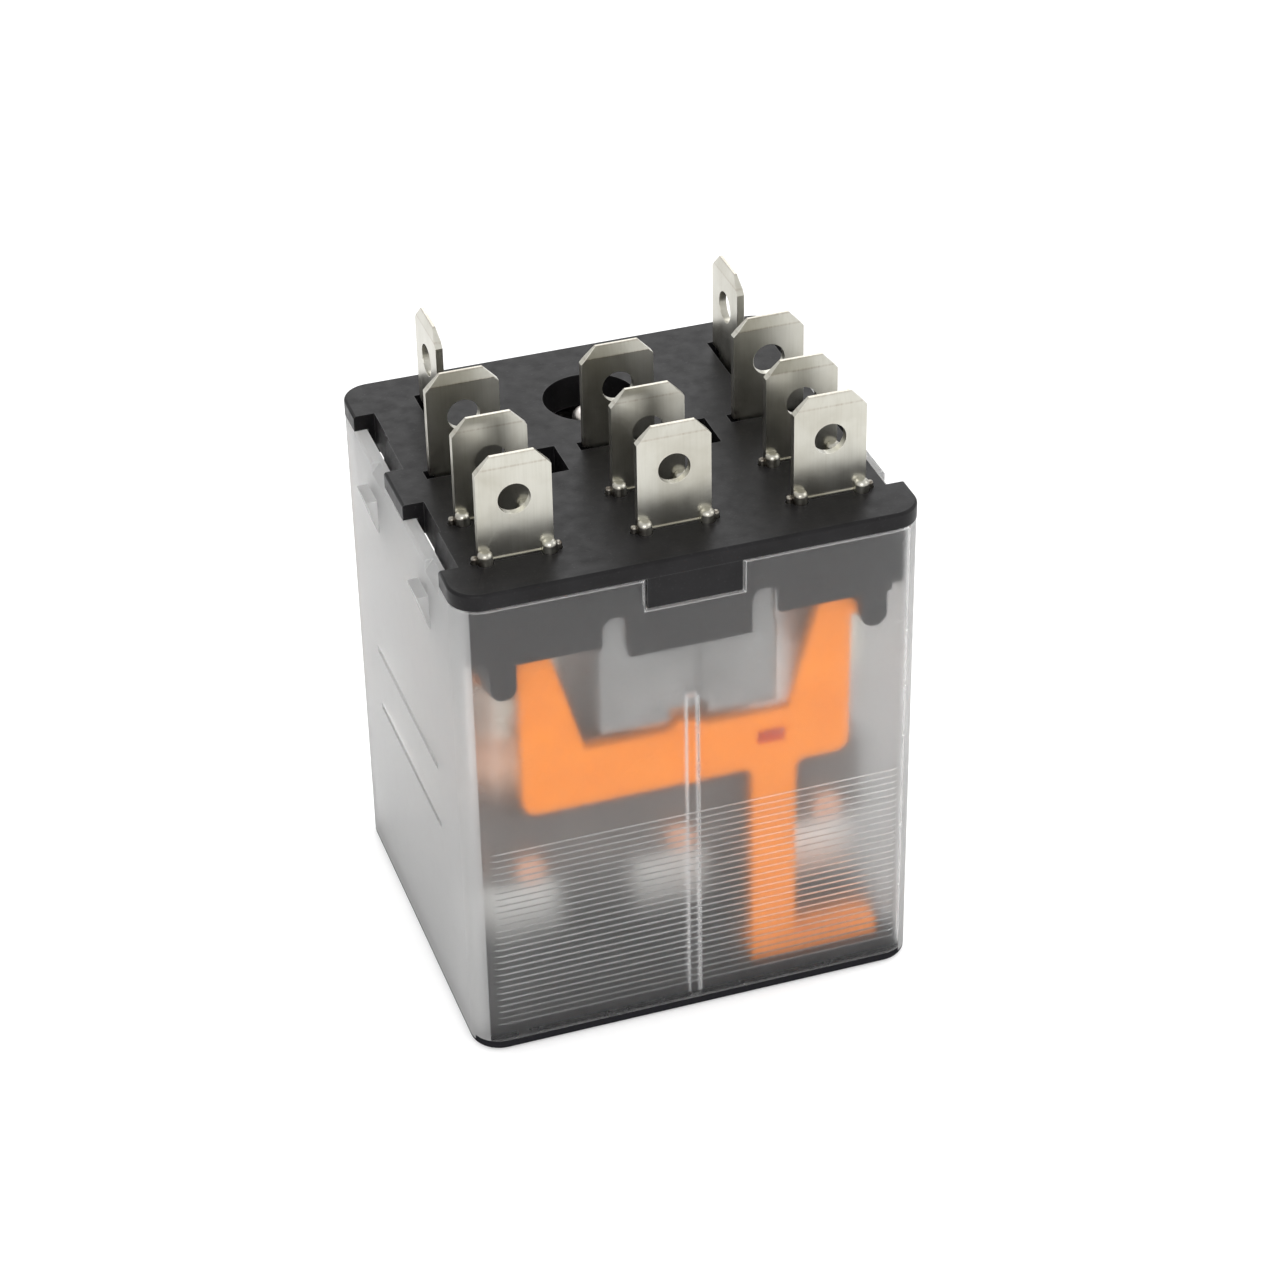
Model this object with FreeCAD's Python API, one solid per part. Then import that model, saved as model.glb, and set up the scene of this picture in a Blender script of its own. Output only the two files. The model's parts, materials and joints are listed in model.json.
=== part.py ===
import FreeCAD, Part
import math
import os
from FreeCAD import Vector

os.makedirs("parts", exist_ok=True)

# A three-pole plug-in relay that stands on its closed end, with its tabs up.
# X runs across the poles and Z runs up to the tabs. While the pieces are made, Y is measured
# from the front face; write() then moves every piece so that Y = 0 is the middle of the body.

# Body
WIDTH = 30.4
DEPTH = 27.6
SEAT_Z = 35.3            # top of the base plate, which seats on the socket
LIP = 1.1                # thickness of the base plate's lip
WALL = 1.15              # the cover's front and back walls
SIDE_WALL = 0.85
FLOOR = 0.35             # cover floor
COVER_CORNER_R = 2.0
ROOM_CORNER_R = 0.5      # inner corners of the cover
LIP_CORNER_R = 1.9
RIM_Z = SEAT_Z - LIP     # top of the cover's walls
HALF = WIDTH / 2
IN_X = HALF - SIDE_WALL  # inner faces of the cover
IN_FRONT = WALL
IN_BACK = DEPTH - WALL
GAP = 0.1                # clearance between the base's plug and the cover

# Tabs
POLES = (-10.2, 0.0, 10.2)
ROW_FRONT = 3.95         # normally open row
ROW_MIDDLE = 8.85        # normally closed row
ROW_BACK = 14.75         # common row
TAB_W = 4.8
TAB_T = 0.5
TAB_H = 7.1
TAB_CHAMFER = (1.0, 1.1)
TAB_BEVEL = (0.15, 0.8)
TAB_HOLE_R = 1.05
TAB_HOLE_UP = 4.0
TAB_SEAT = 0.3           # how deep the shoulders of the two front rows sit in the base plate
SEAT_CLEAR = 0.05
LEDGE_OUT = 0.1          # the shoulder's step in front of the tab's foot
LEDGE_UP = 0.12
NUB_X = 2.05
NUB_OUT = 0.22
NUB_R = 0.48
NUB_UP = 0.82
NUB_ROUND = 0.7          # rounding of a nub's top, as a share of its radius
NIB_X = 2.66
NIB_R = 0.24
NIB_UP = 0.46
LEG_W = 4.0
LEG_END_Z = 22.5
COIL_TAB_X = 10.2
COIL_TAB_Y = 22.1

# Contacts and moving blades
CONTACT_Z = 24.0
CONTACT_R = 1.4
SHANK_R = 0.75
OPEN_FACE_Y = 4.95       # face of the normally open contacts
CLOSED_FACE_Y = 7.5      # face of the normally closed contacts
BLADE_Y = (6.7, 6.9)
BLADE_Z = (8.3, 26.0)
PAD_Z = (4.6, 8.6)
RIVET_Z = 11.4

# Magnet
CORE_Y = 20.4
CORE_R = 3.5
YOKE_Y = (12.6, 14.2)
YOKE_X = 7.6
YOKE_TOP = (30.0, 31.6)
HINGE_Y = 12.6
HINGE_Z = 4.6
TILT_DEG = 3.4           # armature travel
ARMATURE_T = 1.4
AIR_GAP_CLOSED = 0.15
STRAP_Y = (11.2, 12.3)
STRAP_X = (3.2, 7.5)
STRAP_TOP = 15.5
COIL_R = 5.6
COIL_Z = (7.0, 28.2)
FLANGE_T = 0.8
BOBBIN_TUBE_R = 4.2

# Return spring
SPRING_X = -1.4
SPRING_Y = 9.8
SPRING_R = 0.95
SPRING_WIRE_R = 0.15
HOOK_LOW_Z = HINGE_Z
HOOK_HIGH_Z = 16.5
HOOK_HOLE_R = 0.4

# Braids
BRAID_R = 0.45
COMMON_LEG_Y = 10.3
COMMON_END_Z = 25.0

# Indicator lever
LEVER_Y = (2.3, 3.2)
PIVOT_Y = 2.75
PIVOT_Z = 27.7
TRUNNION_R = 0.55
TRUNNION_HOLE_R = 0.62


def box(x, y, z):
    return Part.makeBox(x[1] - x[0], y[1] - y[0], z[1] - z[0], Vector(x[0], y[0], z[0]))


def mid(x, width):
    return (x - width / 2, x + width / 2)


def is_upright(edge):
    a, b = edge.Vertexes[0].Point, edge.Vertexes[-1].Point
    return abs(a.x - b.x) < 1e-6 and abs(a.y - b.y) < 1e-6


def rounded_box(x, y, z, radius):
    solid = box(x, y, z)
    return solid.makeFillet(radius, [edge for edge in solid.Edges if is_upright(edge)])


def prism_xz(points, y):
    outline = [Vector(px, y[0], pz) for px, pz in points]
    return Part.Face(Part.makePolygon(outline + outline[:1])).extrude(Vector(0, y[1] - y[0], 0))


def prism_yz(points, x):
    outline = [Vector(x[0], py, pz) for py, pz in points]
    return Part.Face(Part.makePolygon(outline + outline[:1])).extrude(Vector(x[1] - x[0], 0, 0))


def rod_x(x, y, z, radius):
    return Part.makeCylinder(radius, x[1] - x[0], Vector(x[0], y, z), Vector(1, 0, 0))


def rod_y(x, y, z, radius):
    return Part.makeCylinder(radius, y[1] - y[0], Vector(x, y[0], z), Vector(0, 1, 0))


def rod_z(x, y, z, radius):
    return Part.makeCylinder(radius, z[1] - z[0], Vector(x, y, z[0]), Vector(0, 0, 1))


def join(solids):
    return solids[0].multiFuse(solids[1:]).removeSplitter()


def mirrored(solid):
    return solid.mirror(Vector(0, 0, 0), Vector(1, 0, 0))


def rounded_path(points):
    """Straight runs joined by tangent arcs, each as large as its two runs allow."""
    share = 0.45
    edges = []
    start = points[0]
    for before, corner, after in zip(points, points[1:], points[2:]):
        back = (before - corner).normalize()
        ahead = (after - corner).normalize()
        tangent = share * min(before.distanceToPoint(corner), after.distanceToPoint(corner))
        half_turn = (math.pi - back.getAngle(ahead)) / 2
        radius = tangent / math.tan(half_turn)
        to_arc = radius * (1 / math.cos(half_turn) - 1)
        bisector = (back + ahead).normalize()
        arc_start = corner + back * tangent
        arc_end = corner + ahead * tangent
        edges.append(Part.LineSegment(start, arc_start).toShape())
        edges.append(Part.Arc(arc_start, corner + bisector * to_arc, arc_end).toShape())
        start = arc_end
    edges.append(Part.LineSegment(start, points[-1]).toShape())
    return Part.Wire(edges)


def wire_along(points, radius):
    direction = points[1] - points[0]
    section = Part.Wire(Part.makeCircle(radius, points[0], direction))
    return rounded_path(points).makePipeShell([section], True, True)


def write(name, *solids):
    shape = solids[0] if len(solids) == 1 else Part.Compound(list(solids))
    shape.translate(Vector(0, -DEPTH / 2, 0))
    shape.exportStep("parts/" + name + ".step")


# Housing

KEY_X = 3.15
KEY_Z = 32.0
NOTCHES_Y = ((3.6, 11.7), (16.0, 23.5))
NOTCH_IN_X = 14.25
NOTCH_TOP_X = 13.9       # the notch's side leans in towards the top
NOTCH_FLOOR_Z = RIM_Z - 0.1
NOTCH_SLOT = (0.45, 3.8, 1.3)   # a narrow slot in each notch's rear half: width, length and depth
LATCHES_Y = ((6.4, 8.7), (18.4, 20.7))
LATCH_Z = (29.3, 31.8)
LATCH_OUT = 0.75         # how far a latch housing stands out from the cover's side
LATCH_WALL = 0.65
RIM_CHAMFERS_Y = ((3.6, 6.8), (16.0, 19.2))
RIM_CHAMFER = (0.55, 0.9)
VENTS_Z = (14.15, 18.8)
VENT_Y = (6.6, 21.1)
VENT_H = 0.5
RIDGE_PITCH = 0.508
RIDGE_COUNT = 28
RIDGE_FIRST_Z = 2.18
RIDGE_X = 13.8
RIDGE_DEPTH = 0.07
FOOT_EDGE = 0.4          # rounding of the edge that the cover stands on
RIM_EDGE = 0.15          # chamfer round the cover's rim and key notch
RIB_W = 0.8
RIB_TOP = 24.3
RIB_DEPTH = 0.45


def ridge_groove(z):
    """One narrow V-shaped groove of the grip ridges, with sides at 45 degrees."""
    section = [(-RIDGE_DEPTH, z - 2 * RIDGE_DEPTH), (RIDGE_DEPTH, z), (-RIDGE_DEPTH, z + 2 * RIDGE_DEPTH)]
    return prism_yz(section, (-RIDGE_X, RIDGE_X))


def is_front_rim(edge):
    """The edges of the front face along the rim and round the key notch."""
    bounds = edge.BoundBox
    return bounds.YMax < 1e-6 and bounds.ZMin > KEY_Z - 1e-6


def latch_ramp(x, y, z, out):
    """A wedge on the +X side that stands out furthest at its flat top."""
    return prism_xz([(x - 0.1, z[0]), (x, z[0]), (x + out, z[1]), (x - 0.1, z[1])], y)


def rim_chamfer(y):
    side, drop = RIM_CHAMFER
    beyond = 0.1
    outline = [(HALF - side, RIM_Z), (HALF + beyond, RIM_Z - drop)]
    outline += [(HALF + beyond, RIM_Z + beyond), (HALF - side, RIM_Z + beyond)]
    return prism_xz(outline, y)


def cover():
    shell = rounded_box((-HALF, HALF), (0, DEPTH), (0, RIM_Z), COVER_CORNER_R)
    low = [edge for edge in shell.Edges if edge.BoundBox.ZMax < 1e-6]
    shell = shell.makeFillet(FOOT_EDGE, low)
    shell = shell.cut(box((-KEY_X, KEY_X), (-1, IN_FRONT + 0.2), (KEY_Z, SEAT_Z)))
    shell = shell.makeChamfer(RIM_EDGE, [edge for edge in shell.Edges if is_front_rim(edge)])
    room = rounded_box((-IN_X, IN_X), (IN_FRONT, IN_BACK), (FLOOR, SEAT_Z), ROOM_CORNER_R)
    housings = [latch_ramp(HALF, y, LATCH_Z, LATCH_OUT) for y in LATCHES_Y]
    shell = join([shell] + housings + [mirrored(solid) for solid in housings])
    sides = [box((IN_X - 0.2, HALF + 1), VENT_Y, mid(z, VENT_H)) for z in VENTS_Z]
    sides += [rim_chamfer(y) for y in RIM_CHAMFERS_Y]
    for y in LATCHES_Y:
        pocket_y = (y[0] + LATCH_WALL / 2, y[1] - LATCH_WALL / 2)
        pocket_z = (LATCH_Z[0] + 0.1, LATCH_Z[1] - LATCH_WALL / 2)
        sides.append(latch_ramp(IN_X, pocket_y, pocket_z, LATCH_OUT))
    cuts = sides + [mirrored(solid) for solid in sides]
    cuts += [ridge_groove(RIDGE_FIRST_Z + RIDGE_PITCH * i) for i in range(RIDGE_COUNT)]
    shell = shell.cut(room).cut(Part.Compound(cuts))
    rib = box(mid(0, RIB_W), (IN_FRONT - 0.1, IN_FRONT + RIB_DEPTH), (FLOOR - 0.1, RIB_TOP))
    return join([shell, rib])


TRAY_TOP = 0.9
TRAY_RIM_Z = 1.5
TRAY_RIM_T = 0.25
FLAG_WINDOW = ((7.8, 13.2), (1.9, 4.8))


def marking_plate():
    outer = rounded_box((-IN_X + GAP, IN_X - GAP), (IN_FRONT + GAP, IN_BACK - GAP), (FLOOR, TRAY_RIM_Z), 0.9)
    inset = GAP + TRAY_RIM_T
    room = rounded_box((-IN_X + inset, IN_X - inset), (IN_FRONT + inset, IN_BACK - inset), (TRAY_TOP, 2), 0.5)
    window = box(FLAG_WINDOW[0], FLAG_WINDOW[1], (0, 2))
    rib_slot = box(mid(0, RIB_W + GAP), (IN_FRONT, IN_FRONT + RIB_DEPTH + GAP / 2), (0, 2))
    return outer.cut(room).cut(window).cut(rib_slot)


PLUG_Z = 33.0
SKIRT_T = 0.65
SKIRT_Z = 29.3
PRONG_X = (11.35, 13.05)
PRONG_Y = (1.25, 3.6)
PRONG_Z = 26.85
TONGUE_X = 4.0
TONGUE_Z = 28.2
ARM_X = (4.1, 5.7)
CORE_HOLE_R = 3.1
CORE_HOLE_Y = 20.6
YOKE_TAB_X = 5.1
YOKE_HOLE = (2.0, (12.2, 15.4))


def prong():
    radius = (PRONG_X[1] - PRONG_X[0]) / 2
    centre = (PRONG_X[0] + PRONG_X[1]) / 2
    leg = box(PRONG_X, PRONG_Y, (PRONG_Z + radius, PLUG_Z + 0.1))
    return join([leg, rod_y(centre, PRONG_Y, PRONG_Z + radius, radius)])


def latch_wedge(y):
    """The base's catch, which sits in the pocket of the cover's latch housing."""
    inset = LATCH_WALL / 2 + GAP
    z = (LATCH_Z[0] + 0.3, LATCH_Z[1] - inset)
    return latch_ramp(IN_X - GAP, (y[0] + inset, y[1] - inset), z, LATCH_OUT - GAP)


def notch_cuts(y):
    """One notch of the lip on the +X side: an open corner with a leaning side, and a slot at its rear."""
    above = SEAT_Z + 0.1
    outline = [(NOTCH_IN_X, NOTCH_FLOOR_Z), (16, NOTCH_FLOOR_Z), (16, above), (NOTCH_TOP_X, above)]
    width, length, depth = NOTCH_SLOT
    slot_x = (NOTCH_IN_X - width, NOTCH_IN_X)
    return [prism_xz(outline, y), box(slot_x, (y[1] - length, y[1]), (NOTCH_FLOOR_Z - depth, above))]


def shoulder_seat(x, row):
    """The shallow seat round a front tab's shoulders, its nubs and its nibs."""
    z = (SEAT_Z - TAB_SEAT, SEAT_Z + 1)
    front = row - TAB_T / 2
    back = row + TAB_T / 2
    seat = [box(mid(x, TAB_W + 2 * SEAT_CLEAR), (front - LEDGE_OUT - SEAT_CLEAR, back + SEAT_CLEAR), z)]
    for side in (-1, 1):
        seat.append(rod_z(x + side * NUB_X, front - NUB_OUT, z, NUB_R + SEAT_CLEAR))
        seat.append(rod_z(x + side * NIB_X, front, z, NIB_R + SEAT_CLEAR))
    return seat


def base_cuts():
    cuts = [rod_z(0, CORE_HOLE_Y, (30, 36), CORE_HOLE_R)]
    for y in NOTCHES_Y:
        cuts += notch_cuts(y) + [mirrored(solid) for solid in notch_cuts(y)]
    clear = 0.1
    for x in POLES:
        for row in (ROW_FRONT, ROW_MIDDLE):
            cuts.append(box(mid(x, LEG_W + clear), mid(row, TAB_T + clear), (30, 36)))
            cuts += shoulder_seat(x, row)
        cuts.append(box(mid(x, TAB_W + 0.5), mid(ROW_BACK, TAB_T + 0.5), (30, 36)))
    for side in (-1, 1):
        cuts.append(box(mid(side * YOKE_TAB_X, YOKE_HOLE[0]), YOKE_HOLE[1], (30, 36)))
        cuts.append(box(mid(side * COIL_TAB_X, 1.1), mid(COIL_TAB_Y, TAB_W + 0.6), (30, 36)))
        arm_slot = box((ARM_X[0] - GAP, ARM_X[1] + GAP), (0, 1.95), (SKIRT_Z - 1, 30.4))
        arm_slot = arm_slot.fuse(rod_y(sum(ARM_X) / 2, (0, 1.95), 30.4, (ARM_X[1] - ARM_X[0]) / 2 + GAP))
        cuts.append(arm_slot if side > 0 else mirrored(arm_slot))
        hole = rod_x(PRONG_X, PIVOT_Y, PIVOT_Z, TRUNNION_HOLE_R)
        cuts.append(hole if side > 0 else mirrored(hole))
    return Part.Compound(cuts)


def base():
    lip = rounded_box((-HALF, HALF), (0, DEPTH), (RIM_Z, SEAT_Z), LIP_CORNER_R)
    rim = [edge for edge in lip.Edges if edge.BoundBox.ZMin > SEAT_Z - 1e-6]
    lip = lip.makeFillet(0.2, rim)
    plug_x = IN_X - GAP
    front = IN_FRONT + GAP
    back = IN_BACK - GAP
    body = [lip, rounded_box((-plug_x, plug_x), (front, back), (PLUG_Z, RIM_Z + 0.1), 0.9)]
    body.append(box((-KEY_X + 0.05, KEY_X - 0.05), (0.02, front + 0.1), (KEY_Z + 0.05, RIM_Z + 0.1)))
    body.append(box((-plug_x + 0.9, plug_x - 0.9), (front, front + SKIRT_T), (SKIRT_Z, PLUG_Z + 0.1)))
    body.append(box((-TONGUE_X, TONGUE_X), (front, front + SKIRT_T), (TONGUE_Z, SKIRT_Z + 0.1)))
    body.append(box((-plug_x + 0.9, plug_x - 0.9), (back - SKIRT_T, back), (31.0, PLUG_Z + 0.1)))
    for end in (-plug_x, plug_x - 0.9):
        body.append(box((end, end + 0.9), (front + 0.7, front + 1.4), (SKIRT_Z, PLUG_Z + 0.1)))
    for y in LATCHES_Y:
        ear = box((plug_x - 0.9, plug_x), (y[0] - 0.4, y[1] + 0.4), (28.6, PLUG_Z + 0.1))
        body += [ear, mirrored(ear), latch_wedge(y), mirrored(latch_wedge(y))]
    body += [prong(), mirrored(prong())]
    return join(body).cut(base_cuts())


# Terminals

def tab(x, row):
    """A flat tab across X, standing on the base plate, with bevelled and chamfered top corners."""
    half = TAB_W / 2
    top = SEAT_Z + TAB_H
    side, drop = TAB_CHAMFER
    outline = [(x - half, SEAT_Z), (x + half, SEAT_Z), (x + half, top - drop)]
    outline += [(x + half - side, top), (x - half + side, top), (x - half, top - drop)]
    blade = prism_xz(outline, mid(row, TAB_T))
    lean, rise = TAB_BEVEL
    for way in (-1, 1):
        face = row + way * TAB_T / 2
        wedge = [(face, top - rise), (face, top + 0.1), (face - way * (lean + 0.02), top + 0.1)]
        blade = blade.cut(prism_yz(wedge, (x - half - 1, x + half + 1)))
    return blade.cut(rod_y(x, (row - 1, row + 1), SEAT_Z + TAB_HOLE_UP, TAB_HOLE_R))


def nub(x, y, radius, height):
    """A post with a rounded top."""
    post = rod_z(x, y, (SEAT_Z - TAB_SEAT, SEAT_Z + height), radius)
    top = [edge for edge in post.Edges if edge.BoundBox.ZMin > SEAT_Z + height - 1e-6]
    return post.makeFillet(radius * NUB_ROUND, top)


def staking(x, row):
    """Round nubs upset at the foot of a tab, in front of its two corners, with a nib outside each."""
    front = row - TAB_T / 2
    nubs = []
    for side in (-1, 1):
        nubs.append(nub(x + side * NUB_X, front - NUB_OUT, NUB_R, NUB_UP))
        nubs.append(nub(x + side * NIB_X, front, NIB_R, NIB_UP))
    return nubs


def shoulder(x, row):
    """The tab's foot in its seat, with a low step along its front."""
    front = row - TAB_T / 2
    foot = box(mid(x, TAB_W), (front, row + TAB_T / 2), (SEAT_Z - TAB_SEAT, SEAT_Z))
    step = box(mid(x, 2 * NUB_X), (front - LEDGE_OUT, front + 0.1), (SEAT_Z - TAB_SEAT, SEAT_Z + LEDGE_UP))
    return join([foot, step])


def fixed_leg(x, row):
    leg = box(mid(x, LEG_W), mid(row, TAB_T), (LEG_END_Z, SEAT_Z))
    return leg.cut(rod_y(x, (row - 1, row + 1), CONTACT_Z, SHANK_R))


def fixed_terminal(x, row):
    return join([tab(x, row), shoulder(x, row), fixed_leg(x, row)] + staking(x, row))


def common_terminal(x):
    """The leg steps forward above the yoke, then runs down to the braid's weld."""
    step = (32.1, 32.6)
    down = box(mid(x, LEG_W), mid(ROW_BACK, TAB_T), (step[0], SEAT_Z))
    across = box(mid(x, LEG_W), (COMMON_LEG_Y - TAB_T / 2, ROW_BACK + TAB_T / 2), step)
    leg = box(mid(x, LEG_W), mid(COMMON_LEG_Y, TAB_T), (COMMON_END_Z, step[1]))
    return join([tab(x, ROW_BACK), down, across, leg])


def coil_terminal(side):
    flat = tab(0, 0)
    flat.rotate(Vector(0, 0, 0), Vector(0, 0, 1), 90)
    flat.translate(Vector(side * COIL_TAB_X, COIL_TAB_Y, 0))
    leg = box(mid(side * COIL_TAB_X, TAB_T), mid(COIL_TAB_Y, 2.4), (25.5, SEAT_Z))
    return join([flat, leg])


def rivet_y(x, z, head, shank, tail, head_r, shank_r, tail_r):
    """A rivet along Y: a domed head, a shank and an upset tail, given by their Y ranges."""
    dome = rod_y(x, head, z, head_r)
    face_y = head[0] if abs(head[0] - shank[0]) > abs(head[1] - shank[0]) else head[1]
    edges = [edge for edge in dome.Edges if abs(edge.BoundBox.YMin - face_y) < 1e-6]
    edges = [edge for edge in edges if abs(edge.BoundBox.YMax - face_y) < 1e-6]
    dome = dome.makeFillet(0.25, edges)
    return join([dome, rod_y(x, shank, z, shank_r), rod_y(x, tail, z, tail_r)])


def open_contact(x):
    front = ROW_FRONT - TAB_T / 2
    back = ROW_FRONT + TAB_T / 2
    head = (back, OPEN_FACE_Y)
    return rivet_y(x, CONTACT_Z, head, (front, back), (front - 0.3, front), CONTACT_R, SHANK_R, 1.1)


def closed_contact(x):
    front = ROW_MIDDLE - TAB_T / 2
    back = ROW_MIDDLE + TAB_T / 2
    head = (CLOSED_FACE_Y, front)
    return rivet_y(x, CONTACT_Z, head, (front, back), (back, back + 0.3), CONTACT_R, SHANK_R, 1.1)


# Magnet and coil

def yoke():
    leg = box((-YOKE_X, YOKE_X), YOKE_Y, (HINGE_Z, YOKE_TOP[1]))
    top = box((-YOKE_X, YOKE_X), (YOKE_Y[0], 25.6), YOKE_TOP)
    parts = [leg, top]
    for side in (-1, 1):
        parts.append(box(mid(side * YOKE_TAB_X, 1.5), (12.9, 14.2), (YOKE_TOP[0], 33.7)))
    parts.append(box(mid(SPRING_X, 0.5), (SPRING_Y - 0.8, YOKE_Y[0] + 0.2), mid(HOOK_HIGH_Z, 1.8)))
    body = join(parts).cut(rod_z(0, CORE_Y, (29, 33), 2.1))
    return body.cut(rod_x(mid(SPRING_X, 1), SPRING_Y, HOOK_HIGH_Z, HOOK_HOLE_R))


CORE_HEAD_R = 2.7
CORE_HEAD_Z = 32.5
NIPPLE_R = 1.25          # the end of the core, upset over its head
NIPPLE_TOP = 34.5


def rounded_rod(z, radius, round_r):
    """An upright rod on the core's axis with its top edge rounded."""
    rod = rod_z(0, CORE_Y, z, radius)
    return rod.makeFillet(round_r, [edge for edge in rod.Edges if edge.BoundBox.ZMin > z[1] - 1e-6])


def core():
    shoe = rod_z(0, CORE_Y, (HINGE_Z, 5.8), 4.6)
    post = rod_z(0, CORE_Y, (5.8, YOKE_TOP[0]), CORE_R)
    neck = rod_z(0, CORE_Y, (YOKE_TOP[0], YOKE_TOP[1]), 2.1)
    head = rounded_rod((YOKE_TOP[1], CORE_HEAD_Z), CORE_HEAD_R, 0.4)
    nipple = rounded_rod((CORE_HEAD_Z - 0.1, NIPPLE_TOP), NIPPLE_R, 0.6)
    dimple = Part.makeCone(0.1, 0.45, 0.4, Vector(0, CORE_Y, NIPPLE_TOP - 0.3), Vector(0, 0, 1))
    return join([shoe, post, neck, head, nipple]).cut(dimple)


def bobbin():
    low = rounded_box((-7.2, 7.2), (14.5, 26.2), (COIL_Z[0] - FLANGE_T, COIL_Z[0]), 1.5)
    high = rounded_box((-9.6, 9.6), (14.5, 26.2), (COIL_Z[1], COIL_Z[1] + FLANGE_T), 1.5)
    tube = rod_z(0, CORE_Y, (COIL_Z[0] - FLANGE_T, COIL_Z[1] + FLANGE_T), BOBBIN_TUBE_R)
    return join([low, high, tube]).cut(rod_z(0, CORE_Y, (0, 40), CORE_R + 0.05))


def coil_winding():
    return rod_z(0, CORE_Y, COIL_Z, COIL_R).cut(rod_z(0, CORE_Y, COIL_Z, BOBBIN_TUBE_R))


def coil_tape():
    band = (COIL_Z[0] + 0.6, COIL_Z[1] - 0.6)
    return rod_z(0, CORE_Y, band, COIL_R + 0.15).cut(rod_z(0, CORE_Y, band, COIL_R))


def coil_lead(side):
    inner = COIL_TAB_X - TAB_T / 2
    points = [(5.3, 19.2, 27.85), (7.0, 20.4, 27.6), (8.6, 22.0, 27.1), (inner, 22.2, 26.5)]
    path = [Vector(side * x, y, z) for x, y, z in points]
    lead = wire_along(path, 0.16)
    beyond = box(sorted((side * inner, side * (inner + 1))), (21, 24), (25, 28))
    return lead.cut(coil_winding()).cut(coil_tape()).cut(beyond)


# Armature, carrier and blades

def armature():
    top = HINGE_Z - AIR_GAP_CLOSED
    plate = box((-STRAP_X[1], STRAP_X[1]), (STRAP_Y[0] + 0.3, 24.6), (top - ARMATURE_T, top))
    plate.rotate(Vector(0, HINGE_Y, HINGE_Z), Vector(1, 0, 0), -TILT_DEG)
    strap = box(STRAP_X, STRAP_Y, (top - ARMATURE_T + 0.1, STRAP_TOP))
    lug = box(mid(SPRING_X, 0.5), (SPRING_Y - 0.8, STRAP_Y[1]), mid(HOOK_LOW_Z, 1.8))
    solid = join([plate, strap, mirrored(strap), lug])
    return solid.cut(rod_x(mid(SPRING_X, 1), SPRING_Y, HOOK_LOW_Z, HOOK_HOLE_R))


CARRIER_Y = (4.6, 7.6)
CARRIER_Z = (10.0, 15.5)
CARRIER_X = 13.0
PUSHER_X = 5.8
PUSHER_TIP_Y = LEVER_Y[1] + 0.05


def contact_carrier():
    bar = rounded_box((-CARRIER_X, CARRIER_X), CARRIER_Y, CARRIER_Z, 0.6)
    web = box(STRAP_X, (CARRIER_Y[1] - 0.1, STRAP_Y[0]), (10.2, 15.0))
    pusher = box(mid(PUSHER_X, 1.6), (PUSHER_TIP_Y, CARRIER_Y[0] + 0.1), mid(RIVET_Z, 1.6))
    solid = join([bar, web, mirrored(web), pusher])
    for x in POLES:
        solid = solid.cut(box(mid(x, LEG_W + 0.1), BLADE_Y, (8, 16)))
        solid = solid.cut(rod_y(x, (CARRIER_Y[0] - 0.1, CARRIER_Y[1] + 0.1), RIVET_Z, 0.5))
    return solid


def moving_blade(x):
    blade = box(mid(x, LEG_W), BLADE_Y, BLADE_Z)
    pad = box(mid(x, LEG_W + 1), BLADE_Y, PAD_Z)
    holes = [rod_y(x, (6, 8), RIVET_Z, 0.5), rod_y(x, (6, 8), CONTACT_Z, 0.6)]
    slit = box(mid(x, 0.5), BLADE_Y, (20.5, BLADE_Z[1]))
    return join([blade, pad]).cut(Part.Compound(holes)).cut(slit.cut(rod_y(x, (6, 8), CONTACT_Z, 1.4)))


def moving_contact(x):
    front = rod_y(x, (6.2, BLADE_Y[0]), CONTACT_Z, 1.3)
    back = rod_y(x, (BLADE_Y[1], 7.4), CONTACT_Z, 1.3)
    front = front.makeFillet(0.3, [edge for edge in front.Edges if edge.BoundBox.YMax < 6.3])
    back = back.makeFillet(0.3, [edge for edge in back.Edges if edge.BoundBox.YMin > 7.3])
    return join([front, rod_y(x, BLADE_Y, CONTACT_Z, 0.6), back])


def spring_rivet(x):
    head = (CARRIER_Y[0] - 0.7, CARRIER_Y[0])
    tail = (CARRIER_Y[1], CARRIER_Y[1] + 0.4)
    return rivet_y(x, RIVET_Z, head, CARRIER_Y, tail, 1.1, 0.5, 0.9)


def braid(x):
    """A flexible braid from the common leg's end, down behind the carrier, to the blade's pad."""
    route = [(COMMON_LEG_Y, COMMON_END_Z), (COMMON_LEG_Y, 18.5), (9.6, 12.4), (9.0, 7.9), (6.9, 6.5)]
    tube = wire_along([Vector(x, y, z) for y, z in route], BRAID_R)
    return tube.cut(box(mid(x, 4), (5, BLADE_Y[1]), (4, 9)))


def hook(z, way):
    """Half a ring that closes the spring's end and passes through its lug's hole."""
    start = Vector(SPRING_X + SPRING_R, SPRING_Y, z)
    section = Part.Face(Part.Wire(Part.makeCircle(SPRING_WIRE_R, start, Vector(0, 0, 1))))
    return section.revolve(Vector(SPRING_X, SPRING_Y, z), Vector(0, -way, 0), 180)


def return_spring():
    low = HOOK_LOW_Z + SPRING_R
    high = HOOK_HIGH_Z - SPRING_R
    turns = 16
    path = Part.makeHelix((high - low) / turns, high - low, SPRING_R)
    section = Part.Wire(Part.makeCircle(SPRING_WIRE_R, Vector(SPRING_R, 0, 0), Vector(0, 1, 0)))
    coil = Part.Wire(path.Edges).makePipeShell([section], True, True)
    coil.translate(Vector(SPRING_X, SPRING_Y, low))
    return join([coil, hook(low, -1), hook(high, 1)])


# Indicator lever and arc shield

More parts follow.
